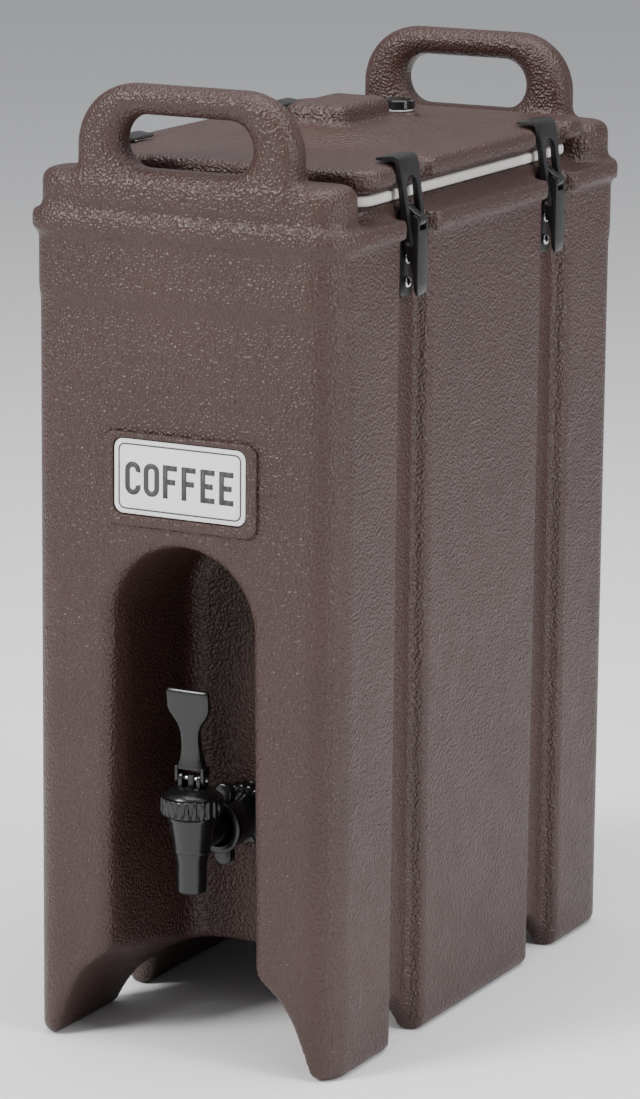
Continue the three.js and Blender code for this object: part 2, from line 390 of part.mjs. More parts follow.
// ---------- latches ----------
function latch(name, side, y) {
  const g = new THREE.Group();
  g.position.set(0, y, 0);
  g.rotation.z = side > 0 ? 0 : Math.PI;
  model.add(g);
  const X = M.YZ;
  // bracket: plate on the groove floor with a centre knuckle
  const plate = new THREE.Shape();
  plate.moveTo(-5.5, 483); plate.lineTo(5.5, 483); plate.lineTo(8.6, 489); plate.lineTo(8.6, 541); plate.lineTo(-8.6, 541); plate.lineTo(-8.6, 489);
  const plateS = solid(along(prism(plate, GROOVE_X + 0.3, GROOVE_X + 2, 0, 1), X));
  const arm = new THREE.Shape();
  arm.moveTo(GROOVE_X + 1, 541); arm.lineTo(GROOVE_X + 1, 525); arm.lineTo(B_X - 2.6, B_Z - 3.6);
  arm.absarc(B_X, B_Z, 4.2, -Math.PI * 0.62, Math.PI * 0.5); arm.lineTo(GROOVE_X + 3, 541);
  const armG = prism(arm, -4, 4, 0, 1, 8);
  armG.applyMatrix4(new THREE.Matrix4().makeBasis(V(1, 0, 0), V(0, 0, 1), V(0, -1, 0)));
  const pinHole = (x, z, r, hw) => solid(along(prism(new THREE.Shape().absarc(x, z, r, 0, Math.PI * 2), -hw, hw, 0, 1, 8), M.XZ));
  const screwHoles = [492, 507].map((z) => { const h = cyl(2.3, 95, 106, 8); h.rotateY(Math.PI / 2); h.translate(0, 0, z); return solid(h); });
  add(g, name + "_bracket", cut(union(plateS, solid(armG)), pinHole(B_X, B_Z, 1.8, 12), ...screwHoles), BLACK, 0.4);
  // two screws
  [492, 507].forEach((z, i) => {
    const head = lathe([[0, GROOVE_X + 2.8], [3.6, GROOVE_X + 2.8], [3.6, GROOVE_X + 3.6], [2.2, GROOVE_X + 4.6], [0, GROOVE_X + 4.6]], 12);
    const s = union(solid(head), solid(cyl(2, GROOVE_X + 0.4, GROOVE_X + 3.4, 8)));
    const geo = geometryOf(s);
    geo.rotateY(Math.PI / 2);
    const m = add(g, `${name}_screw_${i + 1}`, geo, STEEL, 0.3, 1);
    m.position.set(0, 0, z);
  });
  // lever: forked top on the bracket pin, solid handle below
  const lv = new THREE.Shape();
  lv.moveTo(112.4, 531.5); lv.lineTo(112.6, 520); lv.lineTo(112.5, 491);
  lv.bezierCurveTo(112.5, 487, 112.2, 485, 111, 484.2); lv.lineTo(110.2, 485); lv.lineTo(109.2, 498); lv.lineTo(106.4, 508); lv.lineTo(104.6, 514); lv.lineTo(104.4, 520); lv.lineTo(105.4, 527);
  lv.lineTo(105.8, 532); lv.absarc(B_X, B_Z, 3.4, Math.PI, 0, true);
  const face = new THREE.Shape();
  face.moveTo(-7, 540); face.lineTo(-7, 489); face.absarc(0, 490.5, 6.2, Math.PI * 1.05, Math.PI * 1.95); face.lineTo(7, 489); face.lineTo(7, 540);
  const leverSide = solid(along(prism(lv, -7, 7, 0, 1, 3), M.XZ));
  const leverFace = solid(along(prism(face, 100, 120, 0, 1, 8), X));
  const fork = solid(box(100, 120, -4.5, 4.5, 525.4, 545));
  const hollow = solid(box(100, 110.9, -4.6, 4.6, 501, 514));
  add(g, name + "_lever", cut(leverSide.intersect(leverFace), fork, hollow, pinHole(B_X, B_Z, 1.8, 12), pinHole(L_X, L_Z, 1.8, 12)), BLACK, 0.4);
  add(g, name + "_lever_pin", solid(along(prism(new THREE.Shape().absarc(B_X, B_Z, 1.5, 0, Math.PI * 2), -6.9, 6.9, 0, 1, 8), M.XZ)), STEEL, 0.3, 1);
  // hook: flat strap with a long slot for the lever to pass through, curled over the lid at the top
  const strap = new THREE.Shape();
  strap.moveTo(-10.5, 514); strap.lineTo(-13, 556); strap.lineTo(-13, 575); strap.lineTo(13, 575); strap.lineTo(13, 556); strap.lineTo(10.5, 514);
  strap.lineTo(7.4, 514); strap.lineTo(7.4, 551.6); strap.absarc(0, 551.6, 7.4, 0, Math.PI); strap.lineTo(-7.4, 514);
  const strapFace = solid(along(prism(strap, 70, 125, 0, 1, 5), X));
  const st = new THREE.Shape();
  st.moveTo(L_X - 2.6, L_Z); st.absarc(L_X, L_Z, 2.6, Math.PI, 2 * Math.PI + 0.12, false);
  st.lineTo(102.2, 566.4); st.bezierCurveTo(101.6, 570.4, 98.4, 571.6, 94.6, 571.2); st.bezierCurveTo(91.6, 570.9, 89, 570.3, 86, 570.2);
  st.lineTo(85.6, 568.2); st.lineTo(91, 568.2); st.bezierCurveTo(95, 568.3, 98.9, 568.2, 99.4, 566); st.closePath();
  const strapSide = solid(along(prism(st, -13.2, 13.2, 0, 1, 4), M.XZ));
  add(g, name + "_hook", cut(strapFace.intersect(strapSide), pinHole(L_X, L_Z, 1.6, 20)), BLACK, 0.4);
  add(g, name + "_hook_pin", solid(along(prism(new THREE.Shape().absarc(L_X, L_Z, 1.3, 0, Math.PI * 2), -10.9, 10.9, 0, 1, 8), M.XZ)), STEEL, 0.3, 1);
}
latch("latch_front_right", 1, -LATCH_Y);
latch("latch_rear_right", 1, LATCH_Y);
latch("latch_front_left", -1, -LATCH_Y);
latch("latch_rear_left", -1, LATCH_Y);

export default model;
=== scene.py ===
import math

import bmesh
import bpy
import numpy as np
from mathutils import Matrix, Vector


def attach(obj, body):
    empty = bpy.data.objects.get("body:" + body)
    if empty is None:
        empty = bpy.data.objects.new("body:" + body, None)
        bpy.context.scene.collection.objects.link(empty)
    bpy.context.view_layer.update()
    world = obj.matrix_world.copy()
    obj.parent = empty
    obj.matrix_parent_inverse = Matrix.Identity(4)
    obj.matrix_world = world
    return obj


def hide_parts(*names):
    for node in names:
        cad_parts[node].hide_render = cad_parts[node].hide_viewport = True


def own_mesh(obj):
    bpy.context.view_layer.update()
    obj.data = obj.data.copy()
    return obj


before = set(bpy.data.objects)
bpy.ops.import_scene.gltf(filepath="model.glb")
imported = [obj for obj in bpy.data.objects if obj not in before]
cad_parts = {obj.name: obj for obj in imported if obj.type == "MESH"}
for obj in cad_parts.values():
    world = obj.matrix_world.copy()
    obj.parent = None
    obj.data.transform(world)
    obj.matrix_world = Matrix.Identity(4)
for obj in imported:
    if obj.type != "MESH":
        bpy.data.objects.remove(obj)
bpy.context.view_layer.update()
MM = 0.001
LATCH_Y, B, L = 101.5, (109.0, 531.5), (107.5, 517.6)
PIN_Z, SPIGOT_Y, SHANK_Z = 181.0, -190.0, 141.0


# ---------- fields ----------
def smin(a, b, k):
    h = np.clip(k - np.abs(a - b), 0, None)
    return np.minimum(a, b) - h * h * (0.25 / k)


def smax(a, b, k):
    return -smin(-a, -b, k)


def rrect(x, y, hx, hy, r, cx=0.0, cy=0.0):
    qx = np.abs(x - cx) - (hx - r)
    qy = np.abs(y - cy) - (hy - r)
    return np.minimum(np.maximum(qx, qy), 0) + np.hypot(np.maximum(qx, 0), np.maximum(qy, 0)) - r


def push(d2, z, z0, z1, r):
    wz = np.abs(z - (z0 + z1) / 2) - (z1 - z0) / 2 + r
    wx = d2 + r
    return np.minimum(np.maximum(wx, wz), 0) + np.hypot(np.maximum(wx, 0), np.maximum(wz, 0)) - r


def smooth(t):
    t = np.clip(t, 0, 1)
    return t * t * (3 - 2 * t)


def surface(field, axes):
    """Surface nets over a sampled field: one vertex per crossed cell, one quad per crossed edge."""
    X, Y, Z = axes
    inside = field < 0
    nx, ny, nz = field.shape
    corners = [(i, j, k) for i in (0, 1) for j in (0, 1) for k in (0, 1)]
    cut = lambda a, c: a[c[0] : nx - 1 + c[0], c[1] : ny - 1 + c[1], c[2] : nz - 1 + c[2]]
    count = sum(cut(inside, c).astype(np.int8) for c in corners)
    cells = np.argwhere((count > 0) & (count < 8))
    index = -np.ones((nx - 1, ny - 1, nz - 1), np.int64)
    index[tuple(cells.T)] = np.arange(len(cells))
    total = np.zeros((len(cells), 3))
    n = np.zeros(len(cells))
    for a in corners:
        for d in range(3):
            if a[d]:
                continue
            b = tuple(a[m] + (m == d) for m in range(3))
            va = field[cells[:, 0] + a[0], cells[:, 1] + a[1], cells[:, 2] + a[2]]
            vb = field[cells[:, 0] + b[0], cells[:, 1] + b[1], cells[:, 2] + b[2]]
            hit = (va < 0) != (vb < 0)
            t = np.where(hit, va / np.where(hit, va - vb, 1), 0)
            for m in range(3):
                total[:, m] += np.where(hit, a[m] + (t if m == d else 0), 0)
            n += hit
    p = cells + total / n[:, None]
    step = [X[1] - X[0], Y[1] - Y[0], Z[1] - Z[0]]
    verts = np.stack([X[0] + p[:, 0] * step[0], Y[0] + p[:, 1] * step[1], Z[0] + p[:, 2] * step[2]], 1)
    quads = []
    for d in range(3):
        u, w = (d + 1) % 3, (d + 2) % 3
        first = [slice(0, -1) if m == d else slice(1, -1) for m in range(3)]
        second = [slice(1, None) if m == d else slice(1, -1) for m in range(3)]
        a, b = inside[tuple(first)], inside[tuple(second)]
        for cross, flip in ((a & ~b, False), (~a & b, True)):
            e = np.argwhere(cross) + np.array([0 if m == d else 1 for m in range(3)])
            ring = []
            for du, dw in ((0, 0), (1, 0), (1, 1), (0, 1)):
                c = e.copy()
                c[:, u] -= du
                c[:, w] -= dw
                ring.append(index[c[:, 0], c[:, 1], c[:, 2]])
            q = np.stack(ring, 1)
            quads.append(q[:, ::-1] if flip else q)
    return verts, np.concatenate(quads)


def mesh_object(name, verts, faces, shade=True):
    me = bpy.data.meshes.new(name)
    verts = np.asarray(verts, float) * MM
    me.from_pydata([tuple(v) for v in verts], [], [tuple(int(i) for i in f) for f in faces])
    me.validate()
    if shade:
        me.polygons.foreach_set("use_smooth", np.ones(len(me.polygons), bool))
    o = bpy.data.objects.new(name, me)
    bpy.context.scene.collection.objects.link(o)
    return o


def grid(x, y, z, s):
    ax = [np.arange(a, b + s, s) for a, b in (x, y, z)]
    return ax, np.meshgrid(*[a.astype(np.float32) for a in ax], indexing="ij")


UNDER = [(93, 0), (90, 10), (86.5, 20), (80, 36), (72, 49), (62, 58), (50, 67), (38, 72), (20, 75)]


def tunnel_field(x, y, z):
    """Signed distance to the arch under the body, from its outline, stretched in height along the length."""
    half = [(93, -40)] + [(a, b) for a, b in UNDER]
    pts = half + [(-a, b) for a, b in half[::-1]]
    gx = np.arange(-130, 131, 2.0)
    gz = np.arange(-60, 141, 2.0)
    GX, GZ = np.meshgrid(gx, gz, indexing="ij")
    best = np.full(GX.shape, 1e9)
    odd = np.zeros(GX.shape, bool)
    for (x0, z0), (x1, z1) in zip(pts, pts[1:] + pts[:1]):
        ex, ez = x1 - x0, z1 - z0
        t = np.clip(((GX - x0) * ex + (GZ - z0) * ez) / (ex * ex + ez * ez), 0, 1)
        best = np.minimum(best, np.hypot(GX - x0 - t * ex, GZ - z0 - t * ez))
        if z1 != z0:
            odd ^= ((z0 > GZ) != (z1 > GZ)) & (GX < (x1 - x0) * (GZ - z0) / (z1 - z0) + x0)
    table = np.where(odd, -best, best)
    h = np.interp(y[0, :, 0], [-230, -192, -108, 112, 176, 230], [76, 73, 51, 51, 71, 76]).astype(np.float32)
    zs = z * (76 / h)[None, :, None]
    zs = np.where(z < 0, z, zs)
    fx = np.clip((x + 130) / 2, 0, len(gx) - 1.001)
    fz = np.clip((zs + 60) / 2, 0, len(gz) - 1.001)
    i, k = fx.astype(int), fz.astype(int)
    a, b = fx - i, fz - k
    d = table[i, k] * (1 - a) * (1 - b) + table[i + 1, k] * a * (1 - b) + table[i, k + 1] * (1 - a) * b + table[i + 1, k + 1] * a * b
    return d


def body_field(s):
    ax, (x, y, z) = grid((-120, 120), (-216, 216), (-6, 622), s)
    main = push(rrect(x, y, 109, 206, 22), z, 0, 530, 7)
    bead = push(rrect(x, y, 114.5, 209.5, 26), z, 521.8, 534.5, 2.8)
    rim = push(rrect(x, y, 97, 156, 16), z, 480, 543, 1.6)
    d = smin(main, bead, 1.4)
    d = smin(d, rim, 12)
    d = smin(d, push(rrect(x, np.abs(y), 106, 21.4, 19, 0, 184.7), z, 480, 561, 8.5), 7)
    hdl = push(rrect(x, z, 76.5, 60, 39, 0, 556), np.abs(y), 181.5, 205.5, 9.5)
    hole2 = rrect(x, z, 44.5, 15.6, 15.5, 0, 581)
    t = np.abs(np.abs(y) - 193.5)
    hole = np.maximum(hole2 - 6.5 * np.clip(t / 12, 0, 1.4) ** 3, 176 - np.abs(y))
    hdl = smax(hdl, -hole, 6)
    low = push(rrect(x, z, 62, 9, 8.9, 0, 559), np.abs(y), 181.5, 205.5, 4)
    d = smin(d, np.where(z > 540, np.minimum(hdl, 1e3), 1e3), 7)
    d = smax(d, -np.where(np.abs(y) > 176, hole + 0.6, 1e3), 5)
    # grooves and the notch at each one's foot
    yy = np.abs(y) - 103
    half = np.interp(z[0, 0, :], [0, 520], [18.2, 16.4]).astype(np.float32)[None, None, :]
    slot = np.maximum(99.7 - np.abs(x), np.abs(yy) - half - (np.abs(x) - 99.7) * 0.36)
    slot = smax(99.7 - np.abs(x), np.abs(yy) - half - (np.abs(x) - 99.7) * 0.36, 5)
    d = smax(d, -slot, 4.5)
    arch = (np.hypot(yy / 18.5, np.maximum(z, 0) / 25) - 1) * 18.5
    d = smax(d, -np.maximum(arch, 70 - np.abs(x)), 3.5)
    # the niche for the spigot
    w = np.interp(y[0, :, 0], [-216, -206, -121, -111, -90], [51, 50, 41.8, 40, 38]).astype(np.float32)[None, :, None]
    reach = np.hypot(x, np.maximum(z - 281, 0)) - w - np.clip((281 - z) / 281, 0, 1) * 3.5
    back = y + 111 + (z - 110) * 0.022
    d = smax(d, -smax(reach, back, 13), 8)
    # the tunnel
    d = smax(d, -tunnel_field(x, y, z), 5)
    # tank, mouth, tube bore and foaming port
    low = push(rrect(x, y, 75, 124, 18, 0, 44), z, 117, 519, 14)
    up = push(rrect(x, y, 75, 166.5, 18, 0, 1.5), z, 371, 519, 14)
    tank = smin(smin(low, up, 26), push(rrect(x, y, 80, 140, 20), z, 500, 580, 1), 8)
    tank = np.minimum(tank, np.maximum(np.hypot(x, z - SHANK_Z) - 9.6, np.abs(y + 95) - 30))
    tank = np.minimum(tank, np.maximum(np.hypot(x, y - 60) - 10.2, np.abs(z - 50) - 12))
    return ax, smax(d, -tank, 2.5)


def lid_field(s):
    ax, (x, y, z) = grid((-112, 112), (-166, 166), (518, 594), s)
    flange = push(rrect(x, y, 107, 160.5, 18), z, 554.5, 567, 4.6)
    away = np.maximum(rrect(x, y, 23, 37, 9), 0)
    rise = 8.6 * (0.5 + 0.5 * np.cos(np.pi * np.clip(away / 58, 0, 1)))
    crown = np.maximum(rrect(x, y, 103, 156, 16), np.maximum(z - 567 - rise, 556 - z))
    d = smin(flange, crown, 1.5)
    d = smin(d, push(rrect(x, y, 23, 37, 9) + np.clip(z - 575, 0, 14) * 0.16, z, 562, 588.5, 5.5), 4)
    d = smin(d, push(np.hypot(x, y - 88) - 13.4, z, 562, 571.7, 1.2), 3)
    d = smin(d, push(rrect(x, y, 97.6, 152.6, 15), z, 550.3, 562, 0.8), 1)
    d = smin(d, push(rrect(x, y, 77, 137, 18), z, 524, 562, 5), 2)
    ax_, ay = np.abs(x), np.abs(y)
    notch = rrect(ax_, ay, 21, 24.8, 7, 119, 101.3)
    d = smax(d, -notch, 4)
    ramp = np.maximum((567 - (ax_ - 87) * 0.1625 - z), ay * 0 + np.abs(ay - 101.3) - 26)
    d = smax(d, -np.maximum(ramp, 86 - ax_), 2.4)
    d = np.maximum(d, -(np.hypot(x, y - 88) - 6.2))
    return ax, np.maximum(d, -np.maximum(np.hypot(x, y + 80) - 7.4, z - 534))


# ---------- shaders ----------
def material(name, rgb, rough, metal=0.0, bumps=(), mottle=0.0, spec=0.5, coat=0.0, rough_var=0.08):
    m = bpy.data.materials.new(name)
    m.use_nodes = True
    nt = m.node_tree
    n, ln = nt.nodes, nt.links
    b = n["Principled BSDF"]
    b.inputs["Base Color"].default_value = (*rgb, 1)
    b.inputs["Roughness"].default_value = rough
    b.inputs["Metallic"].default_value = metal
    b.inputs["Specular IOR Level"].default_value = spec
    if coat:
        b.inputs["Coat Weight"].default_value = coat
        b.inputs["Coat Roughness"].default_value = 0.25
    tc = n.new("ShaderNodeTexCoord")
    if mottle:
        big = n.new("ShaderNodeTexNoise")
        big.inputs["Scale"].default_value = 9
        big.inputs["Detail"].default_value = 5
        ln.new(tc.outputs["Object"], big.inputs["Vector"])
        r = n.new("ShaderNodeMapRange")
        r.inputs["From Min"].default_value = 0.3
        r.inputs["From Max"].default_value = 0.7
        r.inputs["To Min"].default_value = 1 - mottle
        r.inputs["To Max"].default_value = 1 + mottle
        ln.new(big.outputs["Fac"], r.inputs["Value"])
        mix = n.new("ShaderNodeMix")
        mix.data_type = "RGBA"
        mix.blend_type = "MULTIPLY"
        mix.inputs[0].default_value = 1
        mix.inputs[6].default_value = (*rgb, 1)
        ln.new(r.outputs["Result"], mix.inputs[7])
        ln.new(mix.outputs[2], b.inputs["Base Color"])
    var = n.new("ShaderNodeTexNoise")
    var.inputs["Scale"].default_value = 60
    var.inputs["Detail"].default_value = 4
    ln.new(tc.outputs["Object"], var.inputs["Vector"])
    vr = n.new("ShaderNodeMapRange")
    vr.inputs["To Min"].default_value = max(0.05, rough - rough_var)
    vr.inputs["To Max"].default_value = min(1, rough + rough_var)
    ln.new(var.outputs["Fac"], vr.inputs["Value"])
    ln.new(vr.outputs["Result"], b.inputs["Roughness"])
    last = None
    for kind, scale, height in bumps:
        if kind == "pebble":
            t = n.new("ShaderNodeTexVoronoi")
            t.feature = "SMOOTH_F1"
            t.inputs["Smoothness"].default_value = 0.6
            out = t.outputs["Distance"]
        else:
            t = n.new("ShaderNodeTexNoise")
            t.inputs["Detail"].default_value = 6
            out = t.outputs["Fac"]
        t.inputs["Scale"].default_value = scale
        ln.new(tc.outputs["Object"], t.inputs["Vector"])
        bp = n.new("ShaderNodeBump")
        bp.inputs["Strength"].default_value = 1
        bp.inputs["Distance"].default_value = height
        ln.new(out, bp.inputs["Height"])
        if last:
            ln.new(last.outputs["Normal"], bp.inputs["Normal"])
        last = bp
    if last:
        ln.new(last.outputs["Normal"], b.inputs["Normal"])
    return m


BROWN = material("brown_moulded", (0.045, 0.0215, 0.0178), 0.4, bumps=[("noise", 20, 0.0009), ("noise", 300, 0.00034), ("pebble", 560, 0.0009)], mottle=0.10, spec=0.44, rough_var=0.1)
NYLON = material("black_nylon", (0.006, 0.006, 0.0065), 0.24, bumps=[("noise", 700, 0.00008)], spec=0.5)
LATCH = material("latch_nylon", (0.010, 0.009, 0.009), 0.33, bumps=[("noise", 900, 0.00012)], spec=0.5)
PLATE = material("white_plate", (0.80, 0.80, 0.79), 0.34, bumps=[("noise", 300, 0.00004)], mottle=0.02, spec=0.45)
INK = material("dark_ink", (0.045, 0.045, 0.048), 0.5, bumps=[("noise", 600, 0.00003)])
SILICONE = material("pale_silicone", (0.62, 0.60, 0.57), 0.55, bumps=[("noise", 400, 0.00008)], mottle=0.04)
STEEL = material("stainless", (0.62, 0.62, 0.63), 0.26, 1.0, bumps=[("noise", 900, 0.00003)])
FOAM = material("foam", (0.78, 0.68, 0.42), 0.9, bumps=[("noise", 500, 0.0005)])


def give(o, mat):
    o.data.materials.clear()
    o.data.materials.append(mat)
    return o


def finish_piece(o, mat, slot, body, *nodes):
    give(o, mat)
    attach(o, body)
    if nodes:
        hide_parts(*nodes)
    return o


# ---------- casing and lid ----------
step = 2.5
ax, f = body_field(step)
v, q = surface(f, ax)
del f
shell = mesh_object("casing_moulding", v, q)
dec = shell.modifiers.new("lighten", "DECIMATE")
dec.ratio = 0.42
bpy.context.view_layer.objects.active = shell
shell.select_set(True)
bpy.ops.object.modifier_apply(modifier="lighten")
shell.select_set(False)
finish_piece(shell, BROWN, "casing", "casing", *[n for n in ("body_shell", "tank_liner", "body_foam_core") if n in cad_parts])
ax, f = lid_field(2.0)
v, q = surface(f, ax)
lid = mesh_object("lid_moulding", v, q)
finish_piece(lid, BROWN, "casing", "lid", "lid_shell", "lid_foam_core")


# ---------- small pieces ----------
def lathe(name, pts, n=72, centre=(0, 0, 0), axis="z", ripple=None):
    """A closed outline of (radius, height) turned about an axis. ripple(i, a) scales a radius for knurls."""
    v, f = [], []
    for r, h in pts:
        for i in range(n):
            a = 2 * math.pi * i / n
            rr = r + (ripple(a, h, r) if ripple else 0)
            p = (rr * math.cos(a), rr * math.sin(a), h)
            if axis == "y":
                p = (p[0], h, p[1])
            elif axis == "x":
                p = (h, p[0], p[1])
            v.append([p[k] + centre[k] for k in range(3)])
    m = len(pts)
    for k in range(m - 1):
        for i in range(n):
            j = (i + 1) % n
            f.append((k * n + i, k * n + j, (k + 1) * n + j, (k + 1) * n + i))
    if pts[0] == pts[-1]:
        pass
    o = mesh_object(name, v, f)
    bm = bmesh.new()
    bm.from_mesh(o.data)
    bmesh.ops.remove_doubles(bm, verts=bm.verts, dist=1e-6)
    bmesh.ops.holes_fill(bm, edges=bm.edges, sides=0)
    bmesh.ops.recalc_face_normals(bm, faces=bm.faces)
    bm.to_mesh(o.data)
    bm.free()
    return o


def slab(name, outline, a0, a1, plane, bevel=0.0, seg=3, hole=None):
    """An outline pushed from a0 to a1. plane: 'xz' pushes along y, 'yz' along x, 'xy' along z. A hole outline with as many points as the outline is bridged."""
    n = len(outline)
    put = {"xz": lambda p, a: (p[0], a, p[1]), "yz": lambda p, a: (a, p[0], p[1]), "xy": lambda p, a: (p[0], p[1], a)}[plane]
    v = [put(p, a0) for p in outline] + [put(p, a1) for p in outline]
    f = []
    if hole is None:
        f += [tuple(range(n)), tuple(range(2 * n - 1, n - 1, -1))]
    for i in range(n):
        j = (i + 1) % n
        f.append((i, n + i, n + j, j))
    if hole is not None:
        v += [put(p, a0) for p in hole] + [put(p, a1) for p in hole]
        for i in range(n):
            j = (i + 1) % n
            f += [(i, j, 2 * n + j, 2 * n + i), (n + i, 3 * n + i, 3 * n + j, n + j), (2 * n + i, 2 * n + j, 3 * n + j, 3 * n + i)]
    o = mesh_object(name, v, f)
    bm = bmesh.new()
    bm.from_mesh(o.data)
    bmesh.ops.recalc_face_normals(bm, faces=bm.faces)
    bm.to_mesh(o.data)
    bm.free()
    if bevel:
        soften(o, bevel, seg)
    return o


def soften(o, w, seg=3, angle=28):
    b = o.modifiers.new("edges", "BEVEL")
    b.width = w * MM
    b.segments = seg
    b.limit_method = "ANGLE"
    b.angle_limit = math.radians(angle)
    b.harden_normals = False
    return o


def join(name, *objs):
    """Applies modifiers and makes one object of several."""
    dg = bpy.context.evaluated_depsgraph_get()
    bm = bmesh.new()
    for o in objs:
        me = bpy.data.meshes.new_from_object(o.evaluated_get(dg))
        bm.from_mesh(me)
        bpy.data.meshes.remove(me)
    me = bpy.data.meshes.new(name)
    bm.to_mesh(me)
    bm.free()
    me.polygons.foreach_set("use_smooth", np.ones(len(me.polygons), bool))
    out = bpy.data.objects.new(name, me)
    bpy.context.scene.collection.objects.link(out)
    for o in objs:
        bpy.data.objects.remove(o)
    return out


def by_angle(o, deg=35):
    """Sharp edges over an angle, so flats stay flat."""
    bm = bmesh.new()
    bm.from_mesh(o.data)
    for e in bm.edges:
        e.smooth = e.is_manifold and e.calc_face_angle(0) < math.radians(deg)
    bm.to_mesh(o.data)
    bm.free()
    return o


def arc(cx, cy, r, a0, a1, n=8, ry=None):
    ry = r if ry is None else ry
    return [(cx + r * math.cos(math.radians(a0 + (a1 - a0) * i / n)), cy + ry * math.sin(math.radians(a0 + (a1 - a0) * i / n))) for i in range(n + 1)]


def rounded(hx, hy, r, cx=0, cy=0, n=6):
    return arc(cx + hx - r, cy - hy + r, r, -90, 0, n) + arc(cx + hx - r, cy + hy - r, r, 0, 90, n) + arc(cx - hx + r, cy + hy - r, r, 90, 180, n) + arc(cx - hx + r, cy - hy + r, r, 180, 270, n)


def cutaway(o, *cutters):
    for c in cutters:
        m = o.modifiers.new("cut", "BOOLEAN")
        m.object = c
        m.operation = "DIFFERENCE"
        m.solver = "EXACT"
    dg = bpy.context.evaluated_depsgraph_get()
    me = bpy.data.meshes.new_from_object(o.evaluated_get(dg))
    o.modifiers.clear()
    o.data = me
    for c in cutters:
        bpy.data.objects.remove(c)
    return o


# label: frame moulded on the casing, plate, border line and plain block letters
rim = slab("label_frame_moulding", rounded(54, 29.5, 8, 0, 372.5, 8), -208.3, -205.2, "xz", 0.9, 3, hole=rounded(47, 24.4, 6.8, 0, 374, 8))
finish_piece(by_angle(join("label_frame", rim), 50), BROWN, "casing", "casing")
plate = slab("label_face", rounded(46.2, 23.6, 6.2, 0, 374), -207.15, -206.3, "xz", 0.35, 2)
finish_piece(plate, PLATE, "label", "casing", "label_plate")
line = slab("label_border", rounded(43.3, 20.9, 4.6, 0, 374), -207.24, -207.1, "xz", 0, hole=rounded(42.3, 19.9, 3.6, 0, 374))
finish_piece(line, INK, "label", "casing")


def letters(word, x0, x1, z0, z1):
    """Plain block capitals from straight strokes and half rings, on a grid of equal widths."""
    n, gap = len(word), 2.2
    w = (x1 - x0 - gap * (n - 1)) / n
    t, h, made = w * 0.31, z1 - z0, []
    for i, ch in enumerate(word):
        a = x0 + i * (w + gap)
        bar = lambda u0, u1, s0, s1: made.append(slab("stroke", [(a + u0, z0 + s0), (a + u1, z0 + s0), (a + u1, z0 + s1), (a + u0, z0 + s1)], -207.26, -207.1, "xz"))
        if ch in "FE":
            bar(0.4, 0.4 + t, 0, h)
            bar(0.4 + t, w - 0.6, h - t, h)
            bar(0.4 + t, w - 1.8, h / 2 - t / 2, h / 2 + t / 2)
            if ch == "E":
                bar(0.4 + t, w - 0.6, 0, t)
        else:
            cx, q = a + w / 2, w / 2
            if ch == "C":
                ring = lambda r, cut: arc(cx, z1 - q, r, -cut, 180, 18) + arc(cx, z0 + q, r, 180, 360 + cut, 18)
                made.append(slab("stroke", ring(q, 14) + ring(q - t, 14)[::-1], -207.26, -207.1, "xz"))
            else:
                made.append(slab("stroke", rounded(q, h / 2, q * 0.98, cx, z0 + h / 2, 12), -207.26, -207.1, "xz", hole=rounded(q - t, h / 2 - t, (q - t) * 0.98, cx, z0 + h / 2, 12)))
    return join("label_word", *made)


finish_piece(letters("COFFEE", -38.5, 38.5, 362.5, 383.5), INK, "label", "casing")

# gasket
gs = slab("gasket_ring", rounded(96.2, 151.4, 14, n=8), 543.3, 550, "xy", 1.9, 4, hole=rounded(79, 139, 12, n=8))
finish_piece(gs, SILICONE, "gasket", "lid", "lid_gasket")

# spigot
spout = lathe("spout_and_cup", [(6.6, 100 + 8.3), (7.4, 107.5), (8.6, 107.5), (9.4, 107.9), (9.7, 108.8), (9.7, 120), (9.75, 125.6), (10.2, 127.2), (11.2, 133), (14.6, 152), (15.2, 154.4), (15.6, 155.4), (15.6, 157), (15.2, 157.6), (13.6, 157.9), (13.6, 167), (11.9, 167), (11.8, 134), (8, 130), (6.6, 128), (6.6, 108.3)], 84, (0, SPIGOT_Y, 0))
tail = lathe("tail_pipe", [(6, 9.5), (9.6, 9.5), (9.6, 34), (10, 36), (12.4, 37.6), (12.6, 42.6), (9, 43), (9, 55.6), (6, 55.6), (6, 9.5)], 56, (0, SPIGOT_Y, SHANK_Z), "y")
web = slab("web", [(-14, 150), (-14, 152.5), (-182, 0)][:0] or [(-181, 133.5), (-160, 134.6), (-160, 147.4), (-181, 149.4)], -2.4, 2.4, "yz", 0.6, 2)
body = by_angle(join("spigot_moulding", spout, tail, web), 40)
finish_piece(body, NYLON, "spigot", "casing", "spigot_body")


def knurl(count, depth, z0, z1):
    def f(a, h, r):
        if h < z0 or h > z1 or r < 17:
            return 0.0
        t = math.sin(a * count)
        return -depth * max(0.0, min(1.0, 0.5 - 2.2 * t))
    return f


col = lathe("collar", [(14.2, 158.4), (18.2, 158.3), (19.2, 158.8), (19.8, 159.8), (19.8, 164), (19.8, 168.4), (19.4, 169.6), (18.6, 170.2), (17.7, 170.5), (17.2, 171.4), (15.4, 173), (12.4, 174.7), (9.4, 175.8), (8, 176.1), (3.7, 176.1), (3.7, 172.4), (11.2, 172.2), (11.3, 168), (14.2, 168), (14.2, 158.4)], 240, (0, SPIGOT_Y, 0), "z", knurl(24, 1.1, 159, 169))
ears = [slab("ear", [(SPIGOT_Y - 4.4, 173.6), (SPIGOT_Y + 4.4, 173.6), (SPIGOT_Y + 4.4, 181)] + arc(SPIGOT_Y, 181, 4.2, 0, 180, 10) + [(SPIGOT_Y - 4.4, 181)][:0], s * 5.2, s * 7.7, "yz", 0.4, 2) for s in (-1, 1)]
finish_piece(by_angle(join("bonnet_moulding", col, *ears), 42), NYLON, "spigot", "casing", "bonnet")
